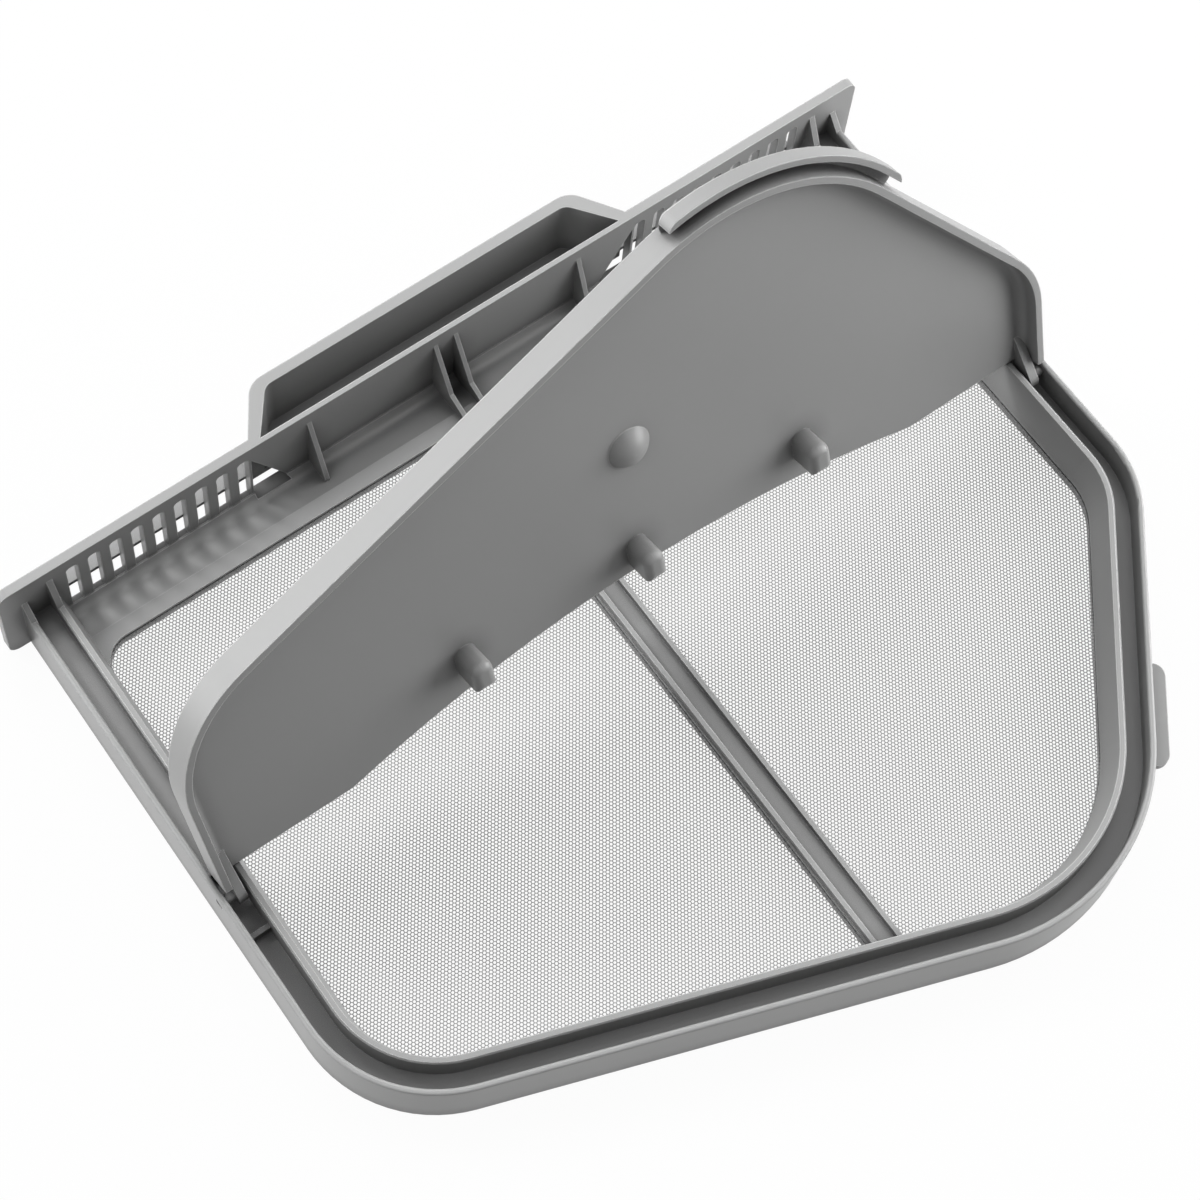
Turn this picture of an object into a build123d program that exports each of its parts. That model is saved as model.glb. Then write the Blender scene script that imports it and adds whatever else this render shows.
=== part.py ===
"""Tumble dryer lint filter: a moulded frame, two mesh screens and a hinged cover, standing open.

Millimetres, +Z up. The origin is at the middle of the flange's inner face, on the plane the frame rests on.
The screens lie towards -Y and the pull handle towards +Y.
"""

import os
from math import asin, cos, degrees, radians, sin, tan

from build123d import *

# Outline of the body: each side has an outward direction and a distance from the origin
half_width = 150.0
side_splay = 1.0
lower_angle = -109.5
lower_distance = 223.0
slope_angle = -37.1
slope_distance = 213.0
left_radius = 44.0
apex_radius = 68.0
right_radius = 38.0

# Section of the frame's border, from the outer wall to the screens
wall = 2.0
wall_height = 21.5
wall_round = 0.8
groove_width = 6.9
groove_floor = 11.0
groove_floor_front = 16.0
floor_skin = 2.0
ridge_thickness = 2.1
ridge_lean = 3.0
ridge_bevel = 0.5
border_top = 8.5
border_bottom = 3.5

# Floor strip between the flange and the screens
strip_width = 17.5
strip_low = 5.5
strip_ramp = 12.5
strip_blend = 4.0
window_radius = 9.0
past_flange = 60.0

# Centre rib, a channel with two raised edges
rib_width = 10.0
rib_edge_spacing = 7.4
rib_edge = 1.5
rib_edge_top = 11.0
rib_gusset_knee = 14.0
rib_gusset_reach = 9.0

# End flange with slots on both sides of the handle
flange_half_length = 157.0
flange_thickness = 3.1
flange_height = 37.5
flange_round = 4.0
slot_count = 9
slot_pitch = 7.42
slot_first = 132.4
slot_width = 4.0
slot_top = 32.0
slot_round = 1.6
opening_edge = 70.2
opening_reach = 13.0
opening_top = 30.0
opening_front = 2.0
shelf_height = 13.5
shelf_thickness = 1.6
shelf_depth = 6.0
shelf_start = 136.0
shelf_end = 58.0

# Gussets between the flange and the floor strip, and the ramps where wall and ridge meet the flange
gusset_spacing = 99.0
gusset_thickness = 1.6
gusset_top = 32.0
gusset_reach = 9.0
ridge_ramp_top = 32.0
wall_ramp_top = 27.0
ramp_reach = 5.0

# Pull handle, a finger pocket open at the top
handle_half_width = 69.0
handle_half_front = 58.3
handle_depth = 18.6
handle_wall = 3.5
handle_bottom = 10.0
handle_floor = 2.5
handle_round = 8.0
pocket_skin = 1.6

# Locating tab on the slanted side
tab_along = -103.0
tab_length = 33.0
tab_reach = 7.0
tab_bottom = 5.0
tab_thickness = 2.5
tab_round = 4.0

# Screens, moulded into the border
screen_thickness = 1.0
screen_top = 7.5
screen_grip = 1.8
hole_pitch = 21.3
hole_web = 2.4
hole_margin = 1.6
hole_least = 60.0
hole_columns = 6
hole_rows = 10

# Hinge
hinge_y = -105.9
hinge_z = 18.0
open_angle = 109.8
pin_radius = 1.6
pin_clearance = 0.05
pin_setback = 0.2
leg_width = 3.0
leg_clearance = 3.0
leg_radius = 3.2
leg_root = 9.0
groove_step = 9.0
cross_rib_y = -118.0
cross_rib_top = 14.0
cross_rib_thickness = 1.6

# Cover
seat_gap = 0.5
rim_clearance = 0.5
rim = 2.3
rim_depth = 7.0
rim_fillet = 3.0
plate = 2.4
cover_edge_y = -112.3
arch_half_width = 102.0
arch_depth = 14.5
lip_clearance = 0.8
lip = 2.0
lip_depth = 5.0
lip_bevel = 2.2
lip_start = -104.0
lip_end = -30.0
lip_end_round = 4.0
dome_x = 7.0
dome_y = -175.5
dome_radius = 7.0
dome_height = 4.0
peg_pitch = 60.5
peg_middle = 3.0
peg_y = -135.0
peg_width = 7.0
peg_height = 10.0
peg_reach = 10.4
peg_round = 2.4
peg_end_round = 3.2

ridge_outer = wall + groove_width
ridge_inner = ridge_outer + ridge_thickness
border_inner = ridge_inner + ridge_lean
border_lean = tan(radians(side_splay))
sides = (
    (180 - side_splay, half_width),
    (lower_angle, lower_distance),
    (slope_angle, slope_distance),
    (side_splay, half_width),
)
radii = (left_radius, apex_radius, right_radius)
rim_inset = wall + rim_clearance
plate_low = wall_height + seat_gap
dome_ball = (dome_radius**2 + dome_height**2) / (2 * dome_height)
dome_latitude = degrees(asin(dome_height / dome_ball - 1))
turn_cos = cos(radians(open_angle))
turn_sin = sin(radians(open_angle))

# Working plane of the cover: coordinates on it are those of the closed cover, turned open about the hinge
cover_plane = Plane(
    origin=(
        0,
        hinge_y - hinge_y * turn_cos - hinge_z * turn_sin,
        hinge_z + hinge_y * turn_sin - hinge_z * turn_cos,
    ),
    x_dir=(1, 0, 0),
    z_dir=(0, turn_sin, turn_cos),
)
cover_side_plane = Plane(cover_plane.origin, x_dir=cover_plane.y_dir, z_dir=(1, 0, 0))


def crossing(first, second, inset):
    """Point where two sides meet once both are moved inward by inset."""
    a = radians(first[0])
    b = radians(second[0])
    p = first[1] - inset
    q = second[1] - inset
    return (p * sin(b) - q * sin(a)) / sin(b - a), (q * cos(a) - p * cos(b)) / sin(b - a)


def side_x(inset, y):
    """Distance of a side wall's face from the middle, at inset from its outer face."""
    return (half_width - inset) / cos(radians(side_splay)) - y * border_lean


def outline(inset, end=0.0):
    """The body's outline moved inward by inset, closed by a straight end at y = end."""
    corners = [crossing(sides[i], sides[i + 1], inset) for i in range(3)]
    with BuildSketch() as face:
        with BuildLine():
            Polyline((-side_x(inset, end), end), *corners, (side_x(inset, end), end), close=True)
        make_face()
        for corner, radius in zip(corners, radii):
            fillet(face.vertices().sort_by_distance(corner)[0], radius - inset)
    return face.sketch


def border_ring(outer_inset, inner_inset):
    """Ring between two insets of the outline, running on under the flange."""
    return outline(outer_inset, past_flange) - outline(inner_inset, past_flange)


def band(y_from, y_to):
    """Wide strip across the body between two distances from the flange."""
    return Pos(0, (y_from + y_to) / 2) * Rectangle(4 * half_width, abs(y_to - y_from), mode=Mode.PRIVATE)


def window(inset, side):
    """One mesh opening: the outline on one side of the centre rib, with rounded upper corners."""
    grow = border_inner - inset
    edge = side * (rib_width / 2 - grow)
    upper = -strip_width + grow
    with BuildSketch() as face:
        add(outline(inset))
        with BuildLine():
            Polyline(
                (edge, upper),
                (edge, -2 * lower_distance),
                (side * 2 * half_width, -2 * lower_distance),
                (side * 2 * half_width, upper),
                close=True,
            )
        make_face(mode=Mode.INTERSECT)
        outer_corner = (side * side_x(inset, upper), upper)
        if window_radius + grow > 0:
            fillet(face.vertices().sort_by_distance(outer_corner)[0], window_radius + grow)
    return face.sketch


def top_edges(faces, rank):
    """Long edges of one of the highest faces, picked by its rank in area."""
    face = faces.group_by(Axis.Z)[-1].sort_by(lambda top: top.area)[rank]
    return face.edges().filter_by(lambda edge: edge.center().Y < -wall)


def screen_holes(side):
    """Openings of one screen: a square grid trimmed to its border, without the smallest slivers."""
    inset = hole_margin - hole_web / 2
    middle = (
        side * (rib_width / 2 + inset + hole_columns * hole_pitch / 2),
        -strip_width - inset - hole_rows * hole_pitch / 2,
    )
    with BuildSketch() as holes:
        with Locations(middle):
            with GridLocations(hole_pitch, hole_pitch, hole_columns, hole_rows):
                Rectangle(hole_pitch - hole_web, hole_pitch - hole_web)
        add(window(border_inner + hole_margin, side), mode=Mode.INTERSECT)
    return Sketch([hole for hole in holes.faces() if hole.area > hole_least])


screens = []
for side, name in ((-1, "screen_left"), (1, "screen_right")):
    with BuildPart() as screen:
        with BuildSketch(Plane.XY.offset(screen_top - screen_thickness)):
            add(window(border_inner - screen_grip, side))
            add(screen_holes(side), mode=Mode.SUBTRACT)
        extrude(amount=screen_thickness)
    screen.part.label = name
    screens.append(screen.part)


with BuildPart() as frame:
    # Body block, then the groove, the sloping inner side and the two mesh openings cut out of it
    with BuildSketch():
        add(outline(0))
    extrude(amount=wall_height)
    with BuildSketch(Plane.XY.offset(groove_floor_front)):
        add(border_ring(wall, ridge_outer))
    extrude(amount=wall_height, mode=Mode.SUBTRACT)
    with BuildSketch(Plane.XY.offset(groove_floor)):
        add(border_ring(wall, ridge_outer) & band(hinge_y + groove_step, -2 * lower_distance))
    extrude(amount=wall_height, mode=Mode.SUBTRACT)
    fillet(top_edges(frame.faces(), 0), wall_round)
    chamfer(top_edges(frame.faces(), -1), ridge_bevel)
    with BuildSketch(Plane.XY.offset(border_top)):
        add(outline(border_inner, past_flange))
    with BuildSketch(Plane.XY.offset(wall_height)):
        add(outline(ridge_inner, past_flange))
    loft(mode=Mode.SUBTRACT)
    for side in (-1, 1):
        with BuildSketch():
            add(window(border_inner, side))
        extrude(amount=wall_height, mode=Mode.SUBTRACT)

    # Hollow underside
    with BuildSketch():
        add(outline(wall, past_flange))
    extrude(amount=border_bottom, mode=Mode.SUBTRACT)
    with BuildSketch():
        add(border_ring(wall, ridge_outer))
    extrude(amount=groove_floor - floor_skin, mode=Mode.SUBTRACT)
    with BuildSketch():
        add(border_ring(wall, ridge_outer) & band(hinge_y + groove_step + floor_skin, past_flange))
    extrude(amount=groove_floor_front - floor_skin, mode=Mode.SUBTRACT)

    # Raised edges of the centre rib
    for side in (-1, 1):
        with BuildSketch(Plane.XY.offset(border_top)):
            add(outline(border_inner - ridge_lean / 2))
            with Locations((side * rib_edge_spacing / 2, -lower_distance)):
                Rectangle(rib_edge, 2 * lower_distance, mode=Mode.INTERSECT)
        extrude(amount=rib_edge_top - border_top)

    # Flange, with the finger pocket behind it
    with BuildSketch(Plane.XZ):
        with Locations((0, flange_height / 2)):
            RectangleRounded(2 * flange_half_length, flange_height, flange_round)
    extrude(amount=-flange_thickness)
    with BuildSketch(Plane.XY.offset(handle_bottom)) as handle_plan:
        with BuildLine():
            Polyline(
                (-handle_half_width, flange_thickness),
                (-handle_half_front, handle_depth),
                (handle_half_front, handle_depth),
                (handle_half_width, flange_thickness),
                close=True,
            )
        make_face()
        fillet(handle_plan.vertices().group_by(Axis.Y)[-1], handle_round)
    extrude(amount=flange_height - handle_bottom)
    with BuildSketch(Plane.XY.offset(handle_bottom + handle_floor)) as pocket_plan:
        with BuildLine():
            Polyline(
                (-handle_half_width + handle_wall, pocket_skin),
                (-handle_half_front + handle_wall, handle_depth - handle_wall),
                (handle_half_front - handle_wall, handle_depth - handle_wall),
                (handle_half_width - handle_wall, pocket_skin),
                close=True,
            )
        make_face()
        fillet(pocket_plan.vertices().group_by(Axis.Y)[-1], handle_round - handle_wall)
    extrude(amount=flange_height, mode=Mode.SUBTRACT)

    # Floor strip: a ramp from the flange up to the edge of the screens
    with BuildSketch(Plane.YZ) as ramp:
        with BuildLine():
            Polyline(
                (0, border_top + strip_blend),
                (0, strip_low),
                (-strip_ramp, border_top),
                (-strip_ramp, border_top + strip_blend),
                close=True,
            )
        make_face()
        fillet(ramp.vertices().group_by(Axis.Y)[0], strip_blend)
    extrude(amount=side_x(border_inner, 0), both=True, mode=Mode.SUBTRACT)

    # Slots, the slanted opening next to the handle and the shelf behind them
    for side in (-1, 1):
        with BuildSketch(Plane.XZ) as slots:
            for i in range(slot_count):
                with Locations((side * (slot_first - i * slot_pitch), (slot_top + strip_low) / 2)):
                    Rectangle(slot_width, slot_top - strip_low)
            fillet(slots.vertices().group_by(Axis.Y)[-1], slot_round)
        extrude(amount=-flange_thickness, mode=Mode.SUBTRACT)
        with BuildSketch(Plane.XZ.offset(opening_front)):
            with BuildLine():
                Polyline(
                    (side * opening_edge, strip_low),
                    (side * opening_edge, opening_top),
                    (side * (opening_edge - opening_reach), strip_low),
                    close=True,
                )
            make_face()
        extrude(amount=-opening_front - flange_thickness, mode=Mode.SUBTRACT)
        with BuildSketch(Plane.XY.offset(shelf_height)):
            with Locations((side * (shelf_start + shelf_end) / 2, flange_thickness + shelf_depth / 2)):
                Rectangle(shelf_start - shelf_end, shelf_depth)
        extrude(amount=shelf_thickness)

    # Gussets that stiffen the flange
    for side in (-1, 1):
        with BuildSketch(Plane.YZ.offset(side * gusset_spacing / 2 - gusset_thickness / 2)):
            with BuildLine():
                Polyline((0, gusset_top), (0, border_bottom), (-gusset_reach, border_bottom),
                         (-gusset_reach, border_top), close=True)
            make_face()
        extrude(amount=gusset_thickness)
        with BuildSketch(Plane.YZ.offset(side * rib_edge_spacing / 2 - rib_edge / 2)):
            with BuildLine():
                Polyline(
                    (0, gusset_top),
                    (0, border_bottom),
                    (-strip_width, border_bottom),
                    (-strip_width, rib_edge_top),
                    (-rib_gusset_reach, rib_gusset_knee),
                    close=True,
                )
            make_face()
        extrude(amount=rib_edge)
        ramps = (0, wall, wall_ramp_top), (ridge_outer, ridge_thickness, ridge_ramp_top)
        for inset, thickness, top in ramps:
            face_x = side_x(inset + thickness / 2, 0)
            with BuildSketch(Plane.YZ.offset(side * face_x - thickness / 2)):
                with BuildLine():
                    Polyline((0, top), (0, groove_floor), (-ramp_reach, groove_floor),
                             (-ramp_reach, wall_height - wall_round), close=True)
                make_face()
            extrude(amount=thickness)

    # Hinge holes through the outer walls, and the cross rib past the left hinge
    for side in (-1, 1):
        with BuildSketch(Plane.YZ.offset(side * side_x(wall + leg_clearance, hinge_y))):
            with Locations((hinge_y, hinge_z)):
                Circle(pin_radius + pin_clearance)
        extrude(amount=side * (leg_clearance + 2 * wall), mode=Mode.SUBTRACT)
    with BuildSketch(Plane.XY.offset(groove_floor)):
        with Locations((-side_x(wall + groove_width / 2, cross_rib_y), cross_rib_y)):
            Rectangle(groove_width + wall, cross_rib_thickness)
    extrude(amount=cross_rib_top - groove_floor)

    # Locating tab on the slanted side
    slope_out = Vector(cos(radians(slope_angle)), sin(radians(slope_angle)))
    slope_along = Vector(-slope_out.Y, slope_out.X)
    tab_middle = slope_out * slope_distance + slope_along * tab_along
    with BuildSketch(Plane(tab_middle + (0, 0, tab_bottom), x_dir=slope_out)) as tab:
        with Locations(((tab_reach - wall / 2) / 2, 0)):
            Rectangle(tab_reach + wall / 2, tab_length)
        fillet(tab.vertices().group_by(Axis.X)[-1], tab_round)
    extrude(amount=tab_thickness)

    # Slot in the border that holds the screens' edges
    for side in (-1, 1):
        with BuildSketch(Plane.XY.offset(screen_top - screen_thickness)):
            add(window(border_inner - screen_grip, side))
        extrude(amount=screen_thickness, mode=Mode.SUBTRACT)

frame.part.label = "frame"


def lip_plan(inner_inset):
    """Plan of the finger lip round the outline's apex, in to an inset, with its outer ends rounded."""
    centre = Vector(*crossing(sides[1], sides[2], apex_radius))
    reach = 2 * lower_distance
    ends = [centre + Vector(reach, 0).rotate(Axis.Z, angle) for angle in (lip_start, lip_end)]
    with BuildSketch() as plan:
        with BuildLine():
            Polyline(centre, *ends, close=True)
        make_face()
        add(outline(-lip_clearance - lip), mode=Mode.INTERSECT)
        fillet(plan.vertices().sort_by_distance(centre)[-2:], lip_end_round)
        add(outline(inner_inset), mode=Mode.SUBTRACT)
    return plan.sketch


def closed_height(edge):
    """Height of an edge's middle above the resting plane when the cover is shut."""
    return cover_plane.to_local_coords(edge.center()).Z


with BuildPart() as finger_lip:
    # Strip that hangs outside the frame's wall at the apex, joined to the plate along its top
    with BuildSketch(cover_plane.offset(plate_low - lip_depth)):
        add(lip_plan(-lip_clearance))
    extrude(amount=lip_depth)
    with BuildSketch(cover_plane.offset(plate_low)):
        add(lip_plan(rim_inset + rim))
    extrude(amount=plate)
    lip_back = finger_lip.edges().group_by(closed_height)[-1]
    chamfer(lip_back.sort_by(lambda edge: edge.length)[-1], lip_bevel)


with BuildPart() as cover:
    # Block of the closed cover, hollowed to leave the plate and its rim
    with BuildSketch(cover_plane.offset(plate_low - rim_depth)):
        add(outline(rim_inset))
        add(band(0, cover_edge_y), mode=Mode.SUBTRACT)
    extrude(amount=rim_depth + plate)
    with BuildSketch(cover_plane.offset(plate_low - rim_depth)):
        add(outline(rim_inset + rim))
    extrude(amount=rim_depth, mode=Mode.SUBTRACT)
    ceiling = cover.edges(Select.LAST).group_by(closed_height)[-1]
    fillet(ceiling.sort_by(lambda edge: edge.length)[:-1], rim_fillet)

    add(finger_lip.part)

    # Arched lower edge
    with BuildSketch(cover_plane.offset(plate_low)):
        with BuildLine():
            ends = (-arch_half_width, cover_edge_y), (arch_half_width, cover_edge_y)
            ThreePointArc(ends[0], (0, cover_edge_y - arch_depth), ends[1])
            Line(ends[1], ends[0])
        make_face()
    extrude(amount=plate, mode=Mode.SUBTRACT)

    # Dome and pegs on the inner face
    with Locations(cover_plane.location * Pos(dome_x, dome_y, plate_low - dome_height + dome_ball)):
        Sphere(dome_ball, arc_size2=dome_latitude, align=None)
    with BuildSketch(cover_plane.offset(plate_low)) as pegs:
        for i in (-1, 0, 1):
            with Locations((peg_middle + i * peg_pitch, peg_y)):
                Rectangle(peg_width, peg_height)
        fillet(pegs.vertices().group_by(Axis.Y)[0], peg_end_round)
    extrude(amount=-peg_reach)
    fillet(cover.edges(Select.LAST).group_by(closed_height)[0], peg_round)

    # Hinge legs with their pins
    for side in (-1, 1):
        leg_face = side_x(wall + leg_clearance, hinge_y)
        with BuildSketch(cover_side_plane.offset(side * leg_face)):
            with Locations((hinge_y, hinge_z)):
                Circle(leg_radius)
            with Locations((cover_edge_y - leg_root / 2, plate_low + plate / 2)):
                Rectangle(leg_root, plate)
            make_hull()
        extrude(amount=-side * leg_width)
        with BuildSketch(cover_side_plane.offset(side * leg_face)):
            with Locations((hinge_y, hinge_z)):
                Circle(pin_radius)
        extrude(amount=side * (leg_clearance + wall - pin_setback))

cover.part.label = "cover"

os.makedirs("parts", exist_ok=True)
for piece in (frame.part, cover.part, *screens):
    export_step(piece, f"parts/{piece.label}.step")
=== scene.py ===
# %% [markdown]
# # A tumble dryer's lint filter
# The solids of this part come ready made: a moulded frame, two screens and a cover that stands open
# on its hinge. This lesson dresses them for a picture. The frame and the cover keep their CAD shape
# and get a satin plastic. The two screens stand in the CAD model as thin walls with a square grid
# of wide gaps, so here each one becomes a real net with its thousands of small six-sided holes.
# All lengths are in metres.

import math

import bpy
import numpy as np
from mathutils import Matrix, Vector


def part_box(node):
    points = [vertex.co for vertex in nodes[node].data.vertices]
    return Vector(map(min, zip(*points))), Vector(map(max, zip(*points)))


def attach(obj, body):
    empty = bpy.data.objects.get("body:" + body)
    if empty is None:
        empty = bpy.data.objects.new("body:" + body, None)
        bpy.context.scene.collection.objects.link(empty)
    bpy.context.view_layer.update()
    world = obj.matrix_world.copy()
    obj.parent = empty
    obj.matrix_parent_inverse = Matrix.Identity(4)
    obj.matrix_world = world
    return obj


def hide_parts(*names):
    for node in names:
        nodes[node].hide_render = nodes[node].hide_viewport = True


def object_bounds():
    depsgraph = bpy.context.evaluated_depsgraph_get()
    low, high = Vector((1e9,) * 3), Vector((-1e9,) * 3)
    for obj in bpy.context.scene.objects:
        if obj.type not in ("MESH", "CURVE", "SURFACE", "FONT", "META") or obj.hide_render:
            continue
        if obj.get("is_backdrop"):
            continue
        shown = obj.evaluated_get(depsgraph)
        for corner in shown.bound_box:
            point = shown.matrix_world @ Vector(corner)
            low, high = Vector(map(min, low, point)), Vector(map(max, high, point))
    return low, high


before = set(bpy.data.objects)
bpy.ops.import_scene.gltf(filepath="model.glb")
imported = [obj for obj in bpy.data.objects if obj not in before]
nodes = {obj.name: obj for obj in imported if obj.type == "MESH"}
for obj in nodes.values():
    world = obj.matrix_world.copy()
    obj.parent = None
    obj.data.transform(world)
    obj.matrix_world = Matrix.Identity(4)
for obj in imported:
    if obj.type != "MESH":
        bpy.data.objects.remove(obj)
cad_low, cad_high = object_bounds()
scene = bpy.context.scene
print("solids:", sorted(nodes), "box:", [round(v, 4) for v in (*cad_low, *cad_high)])

# %% [markdown]
# ## The camera
# The photograph looks down on the filter from its left front corner, with a long lens and the
# camera rolled a little. Its direction, distance and lens were fitted to the straight edges of the
# frame, so they are written here as plain numbers. The picture is square, 1200 pixels on a side.

# %% Camera at the photograph's place
PICTURE_SIDE = 1200
FOCAL_PIXELS = 3214.44
SENSOR_MM = 36.0
VIEW_AZIMUTH = math.radians(-43.49)
VIEW_ELEVATION = math.radians(66.28)
VIEW_ROLL = math.radians(8.14)
VIEW_TARGET = Vector((-0.00233, -0.08559, 0.0))
VIEW_DISTANCE = 0.97362
NEAREST_SEEN = 0.05


def camera_axes(azimuth, elevation, roll):
    """The camera's right, up and backward directions."""
    level = math.cos(elevation)
    back = Vector((math.sin(azimuth) * level, -math.cos(azimuth) * level, math.sin(elevation)))
    right = Vector((math.cos(azimuth), math.sin(azimuth), 0.0))
    up = back.cross(right)
    turned_right = right * math.cos(roll) + up * math.sin(roll)
    turned_up = up * math.cos(roll) - right * math.sin(roll)
    return turned_right, turned_up, back


right, up, back = camera_axes(VIEW_AZIMUTH, VIEW_ELEVATION, VIEW_ROLL)
lens = bpy.data.cameras.new("photo_camera")
lens.sensor_width = SENSOR_MM
lens.lens = FOCAL_PIXELS / PICTURE_SIDE * SENSOR_MM
lens.clip_start = NEAREST_SEEN
camera = bpy.data.objects.new("photo_camera", lens)
scene.collection.objects.link(camera)
place = Matrix((right, up, back)).transposed().to_4x4()
place.translation = VIEW_TARGET + back * VIEW_DISTANCE
camera.matrix_world = place
scene.camera = camera
print("lens:", round(lens.lens, 2), "mm, camera at", [round(v, 3) for v in camera.location])

# %% [markdown]
# ## The nets
# A real filter screen is a thin plastic net, moulded or welded into the frame's border. Its holes
# sit about a millimetre apart in a honeycomb. They could be painted as a transparent pattern, but
# then the mesh itself would have no holes. Here the net is built as what it is: a flat web of small
# bars that meet three at a time. The first step reads where each net has to end, from the outer
# edge of the CAD screen that it replaces. The net's ragged rim is then hidden in the slot of the
# frame that holds it.

# %% Outline of a CAD screen
POINT_DIGITS = 7  # corners that agree to this many digits are one point
FACING_UP = 0.9  # the least Z of an upper face's normal


def screen_outline(screen):
    """Corner points of the screen's outer edge, read from its upper face, in order."""
    mesh = screen.data
    points = [tuple(round(c, POINT_DIGITS) for c in vertex.co) for vertex in mesh.vertices]
    used = {}
    for face in mesh.polygons:
        if face.normal.z > FACING_UP:
            ring = [points[i] for i in face.vertices]
            for a, b in zip(ring, ring[1:] + ring[:1]):
                used[(a, b)] = True
    # A border edge belongs to one upper face only, so its reverse is not in use.
    following = {a: b for a, b in used if (b, a) not in used}
    loops = []
    while following:
        start, here = following.popitem()
        loop = [start]
        while here != start:
            loop.append(here)
            here = following.pop(here)
        loops.append(np.array(loop))
    return max(loops, key=lambda loop: np.ptp(loop[:, 0]))


outlines = {name: screen_outline(nodes[name]) for name in ("screen_left", "screen_right")}
for name, outline in outlines.items():
    height = round(float(outline[0][2]), 5)
    print(name, "outline has", len(outline), "points at height", height)

# %% [markdown]
# ## A honeycomb of bars
# A honeycomb is a slanted grid of cells with two meeting points each, called hubs here. Three bars
# leave a hub, a third of a turn apart. From a cell's first hub they lead to the second hub of that
# same cell and of two of its neighbours. So one grid of numbers holds the whole net, and a
# neighbour is found by shifting that grid by one row or column.

# %% Grid of hubs
NET_PITCH = 0.001136  # between the middles of neighbouring holes
NET_TURN = math.radians(-6.0)  # from the X axis to a row of holes
PARTNER_SHIFTS = ((0, 0), (1, 0), (0, 1))  # rows and columns, one pair for each bar


def hub_grid(polygon, pitch, turn):
    """Hubs of a grid that covers the polygon, and the three spokes of a first hub."""
    along = pitch * np.array((math.cos(turn), math.sin(turn)))
    slant = turn + math.pi / 3
    across = pitch * np.array((math.cos(slant), math.sin(slant)))
    spokes = np.array((along + across, across - 2 * along, along - 2 * across)) / 3
    steps = int(np.ptp(polygon, axis=0).sum() / pitch)
    reach = np.arange(steps) - steps // 2
    row, column = np.meshgrid(reach, reach, indexing="ij")
    centre = (polygon.min(axis=0) + polygon.max(axis=0)) / 2
    cells = centre + row[..., None] * along + column[..., None] * across
    return np.stack((cells + spokes[0], cells + 2 * spokes[0])), spokes


def inside(polygon, points):
    """True for each point that lies inside the polygon, by counting crossings along X."""
    found = np.zeros(len(points), bool)
    x, y = points[:, 0], points[:, 1]
    for (ax, ay), (bx, by) in zip(polygon, np.roll(polygon, -1, axis=0)):
        if ay != by:
            spans = (ay > y) != (by > y)
            found ^= spans & (x < ax + (y - ay) / (by - ay) * (bx - ax))
    return found


def joined_hubs(polygon, hubs):
    """True for each hub inside the polygon that at least two bars reach."""
    kept = inside(polygon, hubs.reshape(-1, 2)).reshape(hubs.shape[:3])
    reached = np.zeros(kept.shape, int)
    for row, column in PARTNER_SHIFTS:
        bars = kept[0] & np.roll(kept[1], (row, column), axis=(0, 1))
        reached[0] += bars
        reached[1] += np.roll(bars, (-row, -column), axis=(0, 1))
    return kept & (reached > 1)


left_hubs, _ = hub_grid(outlines["screen_left"][:, :2], NET_PITCH, NET_TURN)
print("grid over the left screen:", left_hubs.shape[1], "by", left_hubs.shape[2], "cells")

# %% [markdown]
# ## Bars and hubs as faces
# Each hub is one small triangle, with a corner between every two of its bars. Each bar is one
# narrow four-sided face between two hubs and shares their corners, so no face lies over another and
# a whole honeycomb cell costs only eight triangles.

# %% Nets in place of the CAD screens
NET_BAR = 0.000275  # the width of a bar


def honeycomb(polygon, pitch, bar, turn):
    """Corners and faces of a flat honeycomb of bars inside a polygon."""
    hubs, spokes = hub_grid(polygon, pitch, turn)
    kept = joined_hubs(polygon, hubs)
    tips = spokes / np.linalg.norm(spokes, axis=1)[:, None] * bar / math.sqrt(3)
    first_and_second = np.array((-1.0, 1.0))[:, None, None, None, None]
    corners = (hubs[:, :, :, None, :] + first_and_second * tips)[kept].reshape(-1, 2)
    faces = np.arange(len(corners)).reshape(-1, 3).tolist()
    number = np.full(kept.shape, -1)
    number[kept] = np.arange(kept.sum())
    for spoke, shift in enumerate(PARTNER_SHIFTS):
        near = number[0]
        far = np.roll(number[1], shift, axis=(0, 1))
        both = (near >= 0) & (far >= 0)
        a, b = near[both] * 3, far[both] * 3
        one, two = (spoke + 1) % 3, (spoke + 2) % 3
        faces += np.stack((a + one, b + two, b + one, a + two), axis=1).tolist()
    return corners, faces


for name, outline in outlines.items():
    low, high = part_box(name)
    corners, faces = honeycomb(outline[:, :2], NET_PITCH, NET_BAR, NET_TURN)
    height = np.full((len(corners), 1), (low.z + high.z) / 2)
    mesh = bpy.data.meshes.new(name.replace("screen", "net"))
    mesh.from_pydata(np.hstack((corners, height)).tolist(), [], faces)
    net = bpy.data.objects.new(mesh.name, mesh)
    scene.collection.objects.link(net)
    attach(net, "frame")
    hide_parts(name)
    triangles = sum(len(face) - 2 for face in faces)
    print(net.name, "has", triangles, "triangles")

# %% [markdown]
# ## Mould grain
# Moulded plastic is never quite even: the mould leaves a very fine grain, and the melt cools into
# faint clouds. Both are noise, at two very different sizes. More than one finish needs them, so
# they are made once, as a node group, and each finish decides what to do with them.

# %% Mould grain: fine height and broad clouds
FLOAT = "NodeSocketFloat"
GRAIN_DETAIL = 2.0
CLOUD_DETAIL = 3.0


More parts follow.
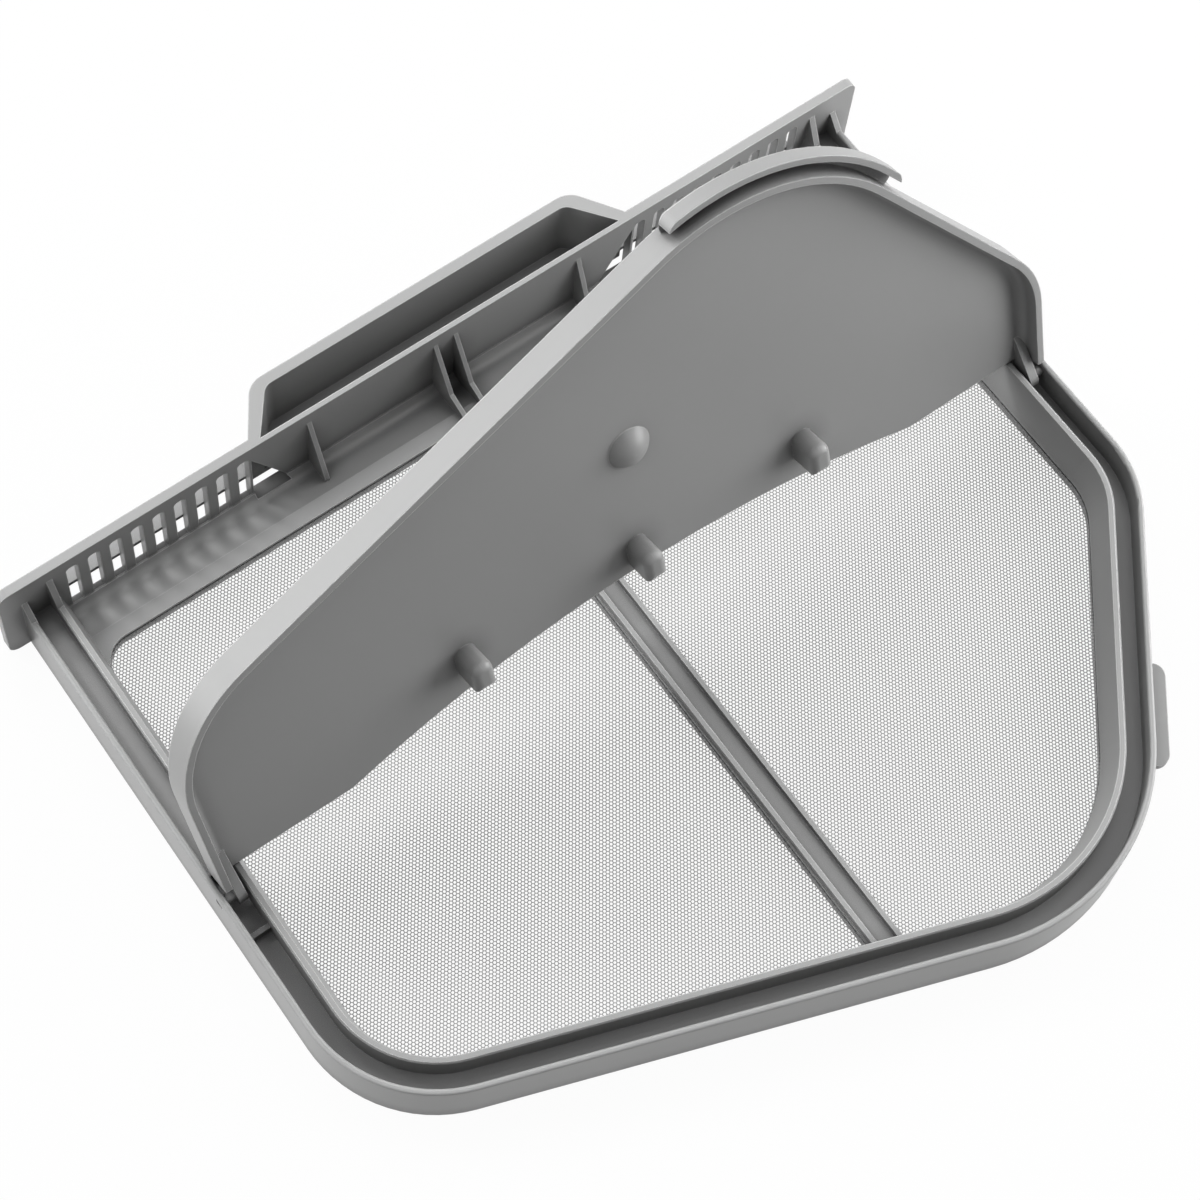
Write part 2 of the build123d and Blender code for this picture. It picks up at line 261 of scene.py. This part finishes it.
def effect(name, inputs, outputs):
    """An empty shader node group with named number inputs and outputs of the given kinds."""
    group = bpy.data.node_groups.new(name, "ShaderNodeTree")
    for label, value in inputs.items():
        made = group.interface.new_socket(label, in_out="INPUT", socket_type=FLOAT)
        made.default_value = value
    for label, kind in outputs.items():
        group.interface.new_socket(label, in_out="OUTPUT", socket_type=kind)
    return group, group.nodes.new("NodeGroupInput"), group.nodes.new("NodeGroupOutput")


grain, grain_in, grain_out = effect(
    "mould_grain",
    {"Grains per metre": 1500.0, "Clouds per metre": 16.0},
    {"Height": FLOAT, "Cloud": FLOAT},
)
where = grain.nodes.new("ShaderNodeTexCoord").outputs["Object"]
for label, detail, target in (
    ("Grains per metre", GRAIN_DETAIL, "Height"),
    ("Clouds per metre", CLOUD_DETAIL, "Cloud"),
):
    noise = grain.nodes.new("ShaderNodeTexNoise")
    noise.inputs["Detail"].default_value = detail
    grain.links.new(where, noise.inputs["Vector"])
    grain.links.new(grain_in.outputs[label], noise.inputs["Scale"])
    grain.links.new(noise.outputs["Fac"], grain_out.inputs[target])
print("group:", grain.name)

# %% [markdown]
# ## Soft edges
# Every moulded edge is a little round. Rounding each edge in the mesh would cost many faces, so a
# Bevel node rounds the normal alone. Where it turns away from the flat face there is an edge, and
# there a thin line of light is painted into the colour as a highlight. An Ambient Occlusion node
# measures how open a place is. It keeps that painted highlight out of inner corners, and it gives
# the mask by which dark shade is painted into the hollows between the walls.

# %% Soft edge: a rounded normal, a painted-highlight mask along the outer edges and an openness mask for painted shade
VECTOR = "NodeSocketVector"
NODE_SAMPLES = 2
EDGE_FALLOFF = 2.0  # powers of the openness: larger ones darken faster
HOLLOW_FALLOFF = 1.2


def math_node(tree, operation, first, second, clamp=False):
    """A Math node on two inputs, each a socket or a number."""
    node = tree.nodes.new("ShaderNodeMath")
    node.operation = operation
    node.use_clamp = clamp
    for socket, value in zip(node.inputs, (first, second)):
        if isinstance(value, (int, float)):
            socket.default_value = value
        else:
            tree.links.new(value, socket)
    return node.outputs[0]


soft_edge, soft_in, soft_out = effect(
    "soft_edge",
    {"Radius": 0.0005, "Gain": 8.0, "Reach": 0.008},
    {"Normal": VECTOR, "Edge": FLOAT, "Open": FLOAT},
)
rounded = soft_edge.nodes.new("ShaderNodeBevel")
rounded.samples = NODE_SAMPLES
soft_edge.links.new(soft_in.outputs["Radius"], rounded.inputs["Radius"])
hollow = soft_edge.nodes.new("ShaderNodeAmbientOcclusion")
hollow.samples = NODE_SAMPLES
soft_edge.links.new(soft_in.outputs["Reach"], hollow.inputs["Distance"])
flat = soft_edge.nodes.new("ShaderNodeNewGeometry").outputs["Normal"]
agree = soft_edge.nodes.new("ShaderNodeVectorMath")
agree.operation = "DOT_PRODUCT"
soft_edge.links.new(rounded.outputs["Normal"], agree.inputs[0])
soft_edge.links.new(flat, agree.inputs[1])
apart = math_node(soft_edge, "SUBTRACT", 1.0, agree.outputs["Value"])
bend = math_node(soft_edge, "MULTIPLY", apart, soft_in.outputs["Gain"], clamp=True)
# Painted highlight mask: the bend of the rounded normal, faded where a place is closed in.
proud = math_node(soft_edge, "POWER", hollow.outputs["AO"], EDGE_FALLOFF)
painted_highlight_mask = math_node(soft_edge, "MULTIPLY", bend, proud)
# Openness, by which dark shade is painted into the hollows.
shaded = math_node(soft_edge, "POWER", hollow.outputs["AO"], HOLLOW_FALLOFF)
soft_edge.links.new(rounded.outputs["Normal"], soft_out.inputs["Normal"])
soft_edge.links.new(painted_highlight_mask, soft_out.inputs["Edge"])
soft_edge.links.new(shaded, soft_out.inputs["Open"])
print("group:", soft_edge.name)

# %% [markdown]
# ## The plastics
# Frame and cover are moulded in one neutral grey with a satin skin. The net is a plain grey plastic
# too, but duller. One function makes both from the mould grain, and each call gives the two greys
# of the clouds, the range of the roughness, the strength of the reflection and the depth of the
# grain.

# %% Grained plastic, first for the body
GRAIN_STRENGTH = 0.25


def mix_colours(tree, factor, first, second):
    """A colour mix: each colour is a socket or three numbers."""
    node = tree.nodes.new("ShaderNodeMix")
    node.data_type = "RGBA"
    tree.links.new(factor, node.inputs["Factor"])
    for label, colour in (("A", first), ("B", second)):
        if isinstance(colour, tuple):
            node.inputs[label].default_value = (*colour, 1)
        else:
            tree.links.new(colour, node.inputs[label])
    return node.outputs["Result"]


def grained_plastic(name, dark, light, rough_low, rough_high, sheen, grain_depth):
    """A plastic with clouds and grain, with its colour socket and its bump node."""
    material = bpy.data.materials.new(name)
    material.use_nodes = True
    tree = material.node_tree
    shader = tree.nodes["Principled BSDF"]
    shader.inputs["Specular IOR Level"].default_value = sheen
    texture = tree.nodes.new("ShaderNodeGroup")
    texture.node_tree = grain
    colour = mix_colours(tree, texture.outputs["Cloud"], dark, light)
    tree.links.new(colour, shader.inputs["Base Color"])
    rough = math_node(tree, "MULTIPLY", texture.outputs["Cloud"], rough_high - rough_low)
    tree.links.new(math_node(tree, "ADD", rough, rough_low), shader.inputs["Roughness"])
    bump = tree.nodes.new("ShaderNodeBump")
    bump.inputs["Strength"].default_value = GRAIN_STRENGTH
    bump.inputs["Distance"].default_value = grain_depth
    tree.links.new(texture.outputs["Height"], bump.inputs["Height"])
    tree.links.new(bump.outputs["Normal"], shader.inputs["Normal"])
    return material, colour, bump


body_grey, body_colour, body_bump = grained_plastic(
    "satin_grey_plastic",
    dark=(0.236, 0.237, 0.236),
    light=(0.262, 0.263, 0.262),
    rough_low=0.32,
    rough_high=0.42,
    sheen=0.4,
    grain_depth=0.00004,
)
print("plastic:", body_grey.name)

# %% [markdown]
# ## Painted edge highlights and painted hollow shade of the body
# The body's plain grey is led through two mixes: to a light grey painted along its outer edges as
# a highlight, and to a dark grey painted into its hollows as shade. The rounded normal goes under
# the grain, so that the edges shine as round ones do.

# %% Soft edges, painted edge highlights and painted hollow shade on the frame and the cover
EDGE_ROUND = 0.00045
# A light grey painted along the outer edges as a highlight.
PAINTED_HIGHLIGHT_GREY = (0.85, 0.85, 0.85)
# A dark grey painted into the hollows as shade.
PAINTED_SHADE_GREY = (0.065, 0.065, 0.065)
tree = body_grey.node_tree
edges = tree.nodes.new("ShaderNodeGroup")
edges.node_tree = soft_edge
edges.inputs["Radius"].default_value = EDGE_ROUND
painted_edge_highlight = mix_colours(tree, edges.outputs["Edge"], body_colour, PAINTED_HIGHLIGHT_GREY)
painted_hollow_shade = mix_colours(tree, edges.outputs["Open"], PAINTED_SHADE_GREY, painted_edge_highlight)
tree.links.new(painted_hollow_shade, tree.nodes["Principled BSDF"].inputs["Base Color"])
tree.links.new(edges.outputs["Normal"], body_bump.inputs["Normal"])
for name in ("frame", "cover"):
    nodes[name].data.materials.clear()
    nodes[name].data.materials.append(body_grey)
    print(name, "is made of", body_grey.name)

# %% [markdown]
# ## The nets' plastic
# The bars of a net are so thin that clear reflections on them would only sparkle. The nets could
# have a material built for them alone, but the same function with a rougher skin and a weaker
# reflection is enough. They get no soft edges, because a bar is narrower than the rounding.

# %% Dull plastic on the nets
net_grey, _, _ = grained_plastic(
    "net_plastic",
    dark=(0.20, 0.20, 0.20),
    light=(0.23, 0.23, 0.23),
    rough_low=0.45,
    rough_high=0.55,
    sheen=0.1,
    grain_depth=0.00001,
)
for name in ("net_left", "net_right"):
    bpy.data.objects[name].data.materials.append(net_grey)
    print(name, "is made of", net_grey.name)

# %% [markdown]
# ## Floor and background
# The photograph has a pure white background. The floor is a plane of pale paper that shows itself
# at full white to the camera, and also to reflections, with a small share of real shading left in,
# so that a faint shadow still grounds the part. The world behind it is white to them as well, and
# otherwise gives only a little light, so that the lamps shape the part.

# %% White floor
WHITE = (1.0, 1.0, 1.0, 1.0)
PAPER_GREY = (0.55, 0.55, 0.55, 1.0)
PAPER_ROUGHNESS = 0.9
FLOOR_HALF = 3.0
FLOOR_GAP = 0.0002
SHADOW_SHARE = 0.04


def seen_directly(tree):
    """One where a ray comes from the camera or through a reflection or glass, else zero."""
    path = tree.nodes.new("ShaderNodeLightPath").outputs
    direct = math_node(tree, "ADD", path["Is Camera Ray"], path["Is Glossy Ray"], clamp=True)
    return math_node(tree, "ADD", direct, path["Is Transmission Ray"], clamp=True)


floor_mesh = bpy.data.meshes.new("floor")
square = ((-1, -1), (1, -1), (1, 1), (-1, 1))
floor_corners = [(x * FLOOR_HALF, y * FLOOR_HALF, 0.0) for x, y in square]
floor_mesh.from_pydata(floor_corners, [], [(0, 1, 2, 3)])
floor = bpy.data.objects.new("floor", floor_mesh)
floor.location.z = cad_low.z - FLOOR_GAP
scene.collection.objects.link(floor)
floor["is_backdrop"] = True
paper = bpy.data.materials.new("white_paper")
paper.use_nodes = True
tree = paper.node_tree
matte = tree.nodes["Principled BSDF"]
matte.inputs["Base Color"].default_value = PAPER_GREY
matte.inputs["Roughness"].default_value = PAPER_ROUGHNESS
glow = tree.nodes.new("ShaderNodeEmission")
glow.inputs["Color"].default_value = WHITE
blend = tree.nodes.new("ShaderNodeMixShader")
white_share = math_node(tree, "MULTIPLY", seen_directly(tree), 1 - SHADOW_SHARE)
tree.links.new(white_share, blend.inputs["Fac"])
tree.links.new(matte.outputs["BSDF"], blend.inputs[1])
tree.links.new(glow.outputs["Emission"], blend.inputs[2])
tree.links.new(blend.outputs["Shader"], tree.nodes["Material Output"].inputs["Surface"])
floor_mesh.materials.append(paper)
print("floor at height", round(floor.location.z, 5))

# %% White world
AMBIENT = 0.02
world = bpy.data.worlds.new("studio")
scene.world = world
world.use_nodes = True
tree = world.node_tree
sky = tree.nodes["Background"]
sky.inputs["Color"].default_value = WHITE
strength = math_node(tree, "MULTIPLY", seen_directly(tree), 1 - AMBIENT)
tree.links.new(math_node(tree, "ADD", strength, AMBIENT), sky.inputs["Strength"])
print("ambient light", AMBIENT)

# %% [markdown]
# ## Light
# The photograph has soft studio light, mostly from behind the filter and from its sides. Each soft
# box here is a round area lamp that looks at the middle of the filter from a given direction. Most
# are large. Two smaller ones behind the filter give the rims a clearer line. Their strengths were
# balanced against one another until the walls, the cover and the floor strip had the tones of the
# photograph.

# %% Soft boxes
# Each lamp: azimuth and elevation in degrees, distance and width in metres, power in watts.
LAMPS = {
    "back_left_key": (-150, 40, 1.5, 0.3, 7.2),
    "back_left": (-135, 35, 1.5, 0.9, 6.1),
    "back_left_low": (-130, 12, 1.5, 0.9, 9.0),
    "left_high": (-90, 55, 1.5, 0.9, 4.5),
    "back": (180, 35, 1.5, 0.9, 6.0),
    "back_high": (180, 60, 1.5, 0.35, 3.7),
    "back_right_high": (135, 62, 1.5, 0.9, 6.6),
    "right_low": (90, 14, 1.5, 0.9, 9.7),
    "right_high": (90, 62, 1.5, 0.9, 1.8),
    "right_near": (62, 22, 0.7, 0.6, 4.4),
    "front_right_high": (45, 62, 1.5, 0.9, 2.2),
}
NO_ROLL = 0.0
for name, (azimuth, elevation, distance, width, watts) in LAMPS.items():
    box = bpy.data.lights.new(f"box_{name}", "AREA")
    box.shape = "DISK"
    box.size = width
    box.energy = watts
    lamp = bpy.data.objects.new(box.name, box)
    scene.collection.objects.link(lamp)
    _, _, away = camera_axes(math.radians(azimuth), math.radians(elevation), NO_ROLL)
    lamp.location = VIEW_TARGET + away * distance
    lamp.rotation_mode = "QUATERNION"
    lamp.rotation_quaternion = away.to_track_quat("Z", "Y")
scene.view_settings.view_transform = "Standard"
print("lamps:", len(LAMPS))

# %% [markdown]
# ## Sizes
# The dressed part must not grow out of the CAD model's box, so both boxes are printed.

# %% Print the visual box
low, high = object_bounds()
print("visual box:", [round(v, 4) for v in (*low, *high)])
